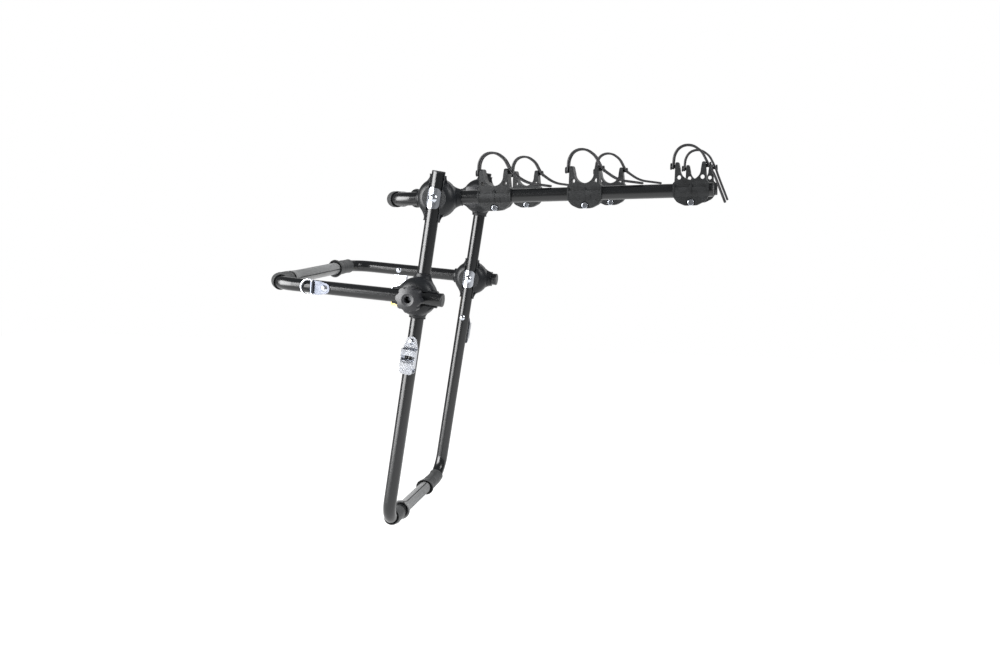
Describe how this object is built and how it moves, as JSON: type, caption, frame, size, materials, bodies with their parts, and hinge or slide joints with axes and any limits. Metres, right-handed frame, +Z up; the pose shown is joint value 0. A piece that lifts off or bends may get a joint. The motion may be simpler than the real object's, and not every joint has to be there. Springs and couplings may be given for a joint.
{
  "type": "rear cycle carrier",
  "caption": "Folding strap-on rear bike carrier: three bent steel hoops on toothed hubs with knobs, ribbed pads, tube cradles with ladder straps and cam buckles.",
  "frame": {"origin": "middle of the flat contact face of the pad at the foot of the leg hoop, where the carrier rests on the car", "axes": "+X away from the car along the arms, +Y across the car towards the far side in the picture, +Z up"},
  "size_m": [0.8661, 0.5346, 0.7525],
  "materials": {
    "frame_tube": "smooth satin black powder coat",
    "hub_plastic": "satin dark grey moulded nylon",
    "knob_plastic": "matt grey-black moulded nylon",
    "cradle_plastic": "matt dark grey moulded plastic",
    "pad_rubber": "ribbed mid-grey rubber",
    "sleeve_rubber": "smooth dark grey rubber",
    "strap_rubber": "smooth black rubber",
    "cap_plastic": "black moulded plastic",
    "bright_steel": "bright zinc-plated steel",
    "stamped_steel": "zinc-plated stamped steel",
    "gold_steel": "yellow zinc-plated steel"
  },
  "bodies": {
    "leg_frame": {"leg_tube": "frame_tube", "leg_end_caps": "cap_plastic", "leg_pad": "pad_rubber", "leg_sleeve_near": "sleeve_rubber", "leg_sleeve_far": "sleeve_rubber", "upper_hub_leg_half_near": "hub_plastic", "upper_hub_leg_half_far": "hub_plastic", "lower_hub_leg_half_near": "hub_plastic", "lower_hub_leg_half_far": "hub_plastic", "hub_bolts": "bright_steel", "saddle_plates": "bright_steel", "leg_rivets": "bright_steel"},
    "arm_frame": {"arm_tube": "frame_tube", "arm_end_caps": "cap_plastic", "arm_pad": "pad_rubber", "arm_sleeve_near": "sleeve_rubber", "arm_sleeve_far": "sleeve_rubber", "arm_hub_half_near": "hub_plastic", "arm_hub_half_far": "hub_plastic", "arm_saddle_washers": "cap_plastic"},
    "boot_frame": {"boot_tube": "frame_tube", "boot_end_caps": "cap_plastic", "boot_pad": "pad_rubber", "boot_sleeve_near": "sleeve_rubber", "boot_sleeve_far": "sleeve_rubber", "boot_hub_half_near": "hub_plastic", "boot_hub_half_far": "hub_plastic", "boot_saddle_washers": "cap_plastic", "boot_rivets": "bright_steel"},
    "upper_knob_near": {"upper_knob_near": "knob_plastic"},
    "lower_knob_near": {"lower_knob_near": "knob_plastic"},
    "upper_knob_far": {"upper_knob_far": "knob_plastic"},
    "lower_knob_far": {"lower_knob_far": "knob_plastic"},
    "leg_buckle_near": {"leg_buckle_near": "stamped_steel"},
    "leg_buckle_lever_near": {"leg_buckle_lever_near": "stamped_steel"},
    "leg_buckle_far": {"leg_buckle_far": "stamped_steel"},
    "leg_buckle_lever_far": {"leg_buckle_lever_far": "stamped_steel"},
    "boot_buckle": {"boot_buckle": "stamped_steel"},
    "boot_buckle_lever": {"boot_buckle_lever": "gold_steel"},
    "strap_ring_plate": {"strap_ring_plate": "stamped_steel"},
    "strap_ring": {"strap_ring": "stamped_steel"},
    "cradle_near_1": {"cradle_near_1": "cradle_plastic", "cradle_screw_near_1": "bright_steel", "cradle_strap_near_1": "strap_rubber"},
    "cradle_near_2": {"cradle_near_2": "cradle_plastic", "cradle_screw_near_2": "bright_steel", "cradle_strap_near_2": "strap_rubber"},
    "cradle_near_3": {"cradle_near_3": "cradle_plastic", "cradle_screw_near_3": "bright_steel", "cradle_strap_near_3": "strap_rubber"},
    "cradle_far_1": {"cradle_far_1": "cradle_plastic", "cradle_screw_far_1": "bright_steel", "cradle_strap_far_1": "strap_rubber"},
    "cradle_far_2": {"cradle_far_2": "cradle_plastic", "cradle_screw_far_2": "bright_steel", "cradle_strap_far_2": "strap_rubber"},
    "cradle_far_3": {"cradle_far_3": "cradle_plastic", "cradle_screw_far_3": "bright_steel", "cradle_strap_far_3": "strap_rubber"}
  },
  "joints": [
    {"name": "arm_fold", "type": "hinge", "parent": "leg_frame", "child": "arm_frame", "pos_m": [0.11595, 0, 0.63258], "axis": [0, 1, 0], "range_deg": [-60, 88]},
    {"name": "boot_fold", "type": "hinge", "parent": "leg_frame", "child": "boot_frame", "pos_m": [0.08605, 0, 0.45001], "axis": [0, 1, 0], "range_deg": [-55, 80]},
    {"name": "upper_knob_near_turn", "type": "hinge", "parent": "leg_frame", "child": "upper_knob_near", "pos_m": [0.11595, -0.119, 0.63258], "axis": [0, 1, 0], "continuous": true},
    {"name": "lower_knob_near_turn", "type": "hinge", "parent": "leg_frame", "child": "lower_knob_near", "pos_m": [0.08605, -0.251, 0.45001], "axis": [0, -1, 0], "continuous": true},
    {"name": "upper_knob_far_turn", "type": "hinge", "parent": "leg_frame", "child": "upper_knob_far", "pos_m": [0.11595, 0.119, 0.63258], "axis": [0, -1, 0], "continuous": true},
    {"name": "lower_knob_far_turn", "type": "hinge", "parent": "leg_frame", "child": "lower_knob_far", "pos_m": [0.08605, 0.251, 0.45001], "axis": [0, 1, 0], "continuous": true},
    {"name": "leg_buckle_near_swivel", "type": "hinge", "parent": "leg_frame", "child": "leg_buckle_near", "pos_m": [0.07183, -0.1989, 0.36317], "axis": [0, 1, 0], "range_deg": [-30, 30]},
    {"name": "leg_buckle_lever_near_turn", "type": "hinge", "parent": "leg_buckle_near", "child": "leg_buckle_lever_near", "pos_m": [0.06521, -0.2064, 0.3227], "axis": [-0.9869, 0, 0.1616], "range_deg": [0, 35], "stiffness_Nm_per_rad": 0.05},
    {"name": "leg_buckle_far_swivel", "type": "hinge", "parent": "leg_frame", "child": "leg_buckle_far", "pos_m": [0.07183, 0.1989, 0.36317], "axis": [0, 1, 0], "range_deg": [-30, 30]},
    {"name": "leg_buckle_lever_far_turn", "type": "hinge", "parent": "leg_buckle_far", "child": "leg_buckle_lever_far", "pos_m": [0.06521, 0.2064, 0.3227], "axis": [0.9869, 0, -0.1616], "range_deg": [0, 35], "stiffness_Nm_per_rad": 0.05},
    {"name": "boot_buckle_swivel", "type": "hinge", "parent": "boot_frame", "child": "boot_buckle", "pos_m": [-0.08739, 0.2349, 0.46396], "axis": [0, 1, 0], "range_deg": [-30, 30]},
    {"name": "boot_buckle_lever_turn", "type": "hinge", "parent": "boot_buckle", "child": "boot_buckle_lever", "pos_m": [-0.0973, 0.2424, 0.42418], "axis": [0.9703, 0, -0.2419], "range_deg": [0, 35], "stiffness_Nm_per_rad": 0.05},
    {"name": "strap_ring_plate_swivel", "type": "hinge", "parent": "boot_frame", "child": "strap_ring_plate", "pos_m": [-0.08739, -0.2349, 0.46396], "axis": [0, 1, 0], "range_deg": [-30, 30]},
    {"name": "strap_ring_swing", "type": "hinge", "parent": "strap_ring_plate", "child": "strap_ring", "pos_m": [-0.11131, -0.23756, 0.46589], "axis": [0.0802, 0, 0.9968], "range_deg": [0, 120]},
    {"name": "cradle_near_1_turn", "type": "hinge", "parent": "arm_frame", "child": "cradle_near_1", "pos_m": [0.2239, -0.149, 0.63603], "axis": [-0.9995, 0, -0.0319], "range_deg": [0, 60]},
    {"name": "cradle_near_2_turn", "type": "hinge", "parent": "arm_frame", "child": "cradle_near_2", "pos_m": [0.39281, -0.149, 0.64142], "axis": [-0.9995, 0, -0.0319], "range_deg": [0, 60]},
    {"name": "cradle_near_3_turn", "type": "hinge", "parent": "arm_frame", "child": "cradle_near_3", "pos_m": [0.58371, -0.149, 0.64752], "axis": [-0.9995, 0, -0.0319], "range_deg": [0, 60]},
    {"name": "cradle_far_1_turn", "type": "hinge", "parent": "arm_frame", "child": "cradle_far_1", "pos_m": [0.2239, 0.149, 0.63603], "axis": [0.9995, 0, 0.0319], "range_deg": [0, 60]},
    {"name": "cradle_far_2_turn", "type": "hinge", "parent": "arm_frame", "child": "cradle_far_2", "pos_m": [0.4038, 0.149, 0.64177], "axis": [0.9995, 0, 0.0319], "range_deg": [0, 60]},
    {"name": "cradle_far_3_turn", "type": "hinge", "parent": "arm_frame", "child": "cradle_far_3", "pos_m": [0.58771, 0.149, 0.64765], "axis": [0.9995, 0, 0.0319], "range_deg": [0, 60]}
  ]
}
